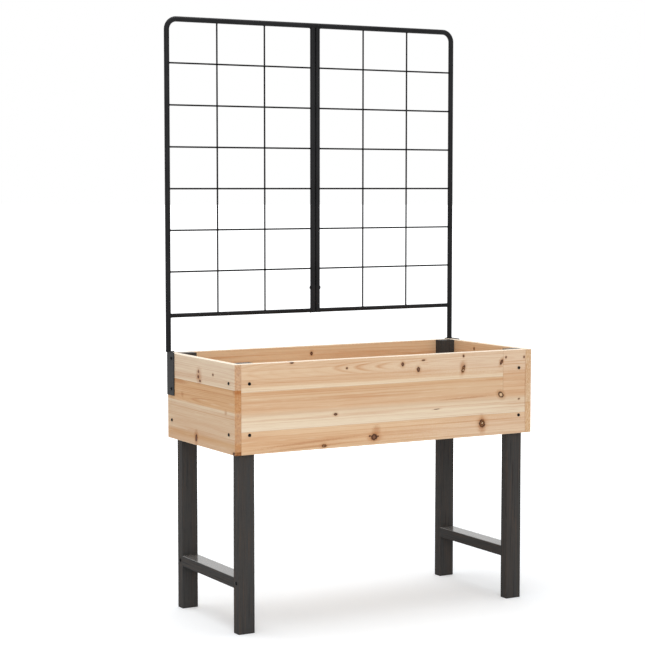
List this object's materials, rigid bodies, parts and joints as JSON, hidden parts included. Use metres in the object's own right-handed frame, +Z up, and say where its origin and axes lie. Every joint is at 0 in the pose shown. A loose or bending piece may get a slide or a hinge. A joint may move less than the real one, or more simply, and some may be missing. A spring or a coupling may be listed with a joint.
{
  "type": "planter with trellis",
  "caption": "Raised wooden planter box on painted legs, with a black steel wire trellis standing on its rear corners.",
  "frame": {"origin": "on the ground under the middle of the wooden box's footprint", "axes": "+X along the front of the box to its right end as seen from the front, +Y from the front to the back, where the trellis stands, +Z up"},
  "size_m": [0.8096, 0.3608, 1.395],
  "materials": {
    "fir": "planed natural fir with knots, matt clear oil",
    "painted_fir": "dark charcoal satin paint, the grain showing through",
    "black_steel": "black powder coat, half gloss",
    "black_fasteners": "black zinc, satin"
  },
  "bodies": {
    "root": {"floor_board_1": "fir", "floor_board_2": "fir", "floor_board_3": "fir", "floor_board_4": "fir", "floor_board_5": "fir", "front_cleat": "fir", "front_panel": "fir", "joining_bolt": "black_fasteners", "joining_nut": "black_fasteners", "joining_pin": "black_steel", "left_bottom_rail": "black_steel", "left_bracket_screw_1": "black_fasteners", "left_bracket_screw_2": "black_fasteners", "left_centre_post": "black_steel", "left_foot_bracket": "black_steel", "left_frame_tube": "black_steel", "left_front_leg": "painted_fir", "left_front_screw_1": "black_fasteners", "left_front_screw_2": "black_fasteners", "left_level_wire_1": "black_steel", "left_level_wire_2": "black_steel", "left_level_wire_3": "black_steel", "left_level_wire_4": "black_steel", "left_level_wire_5": "black_steel", "left_level_wire_6": "black_steel", "left_panel": "fir", "left_panel_screw_1": "black_fasteners", "left_panel_screw_2": "black_fasteners", "left_panel_screw_3": "black_fasteners", "left_rear_leg": "painted_fir", "left_stretcher": "painted_fir", "left_upright_wire_1": "black_steel", "left_upright_wire_2": "black_steel", "rear_cleat": "fir", "rear_panel": "fir", "right_bottom_rail": "black_steel", "right_bracket_screw_1": "black_fasteners", "right_bracket_screw_2": "black_fasteners", "right_centre_post": "black_steel", "right_foot_bracket": "black_steel", "right_frame_tube": "black_steel", "right_front_leg": "painted_fir", "right_front_screw_1": "black_fasteners", "right_front_screw_2": "black_fasteners", "right_level_wire_1": "black_steel", "right_level_wire_2": "black_steel", "right_level_wire_3": "black_steel", "right_level_wire_4": "black_steel", "right_level_wire_5": "black_steel", "right_level_wire_6": "black_steel", "right_panel": "fir", "right_panel_screw_1": "black_fasteners", "right_panel_screw_2": "black_fasteners", "right_panel_screw_3": "black_fasteners", "right_rear_leg": "painted_fir", "right_stretcher": "painted_fir", "right_upright_wire_1": "black_steel", "right_upright_wire_2": "black_steel"}
  },
  "joints": []
}
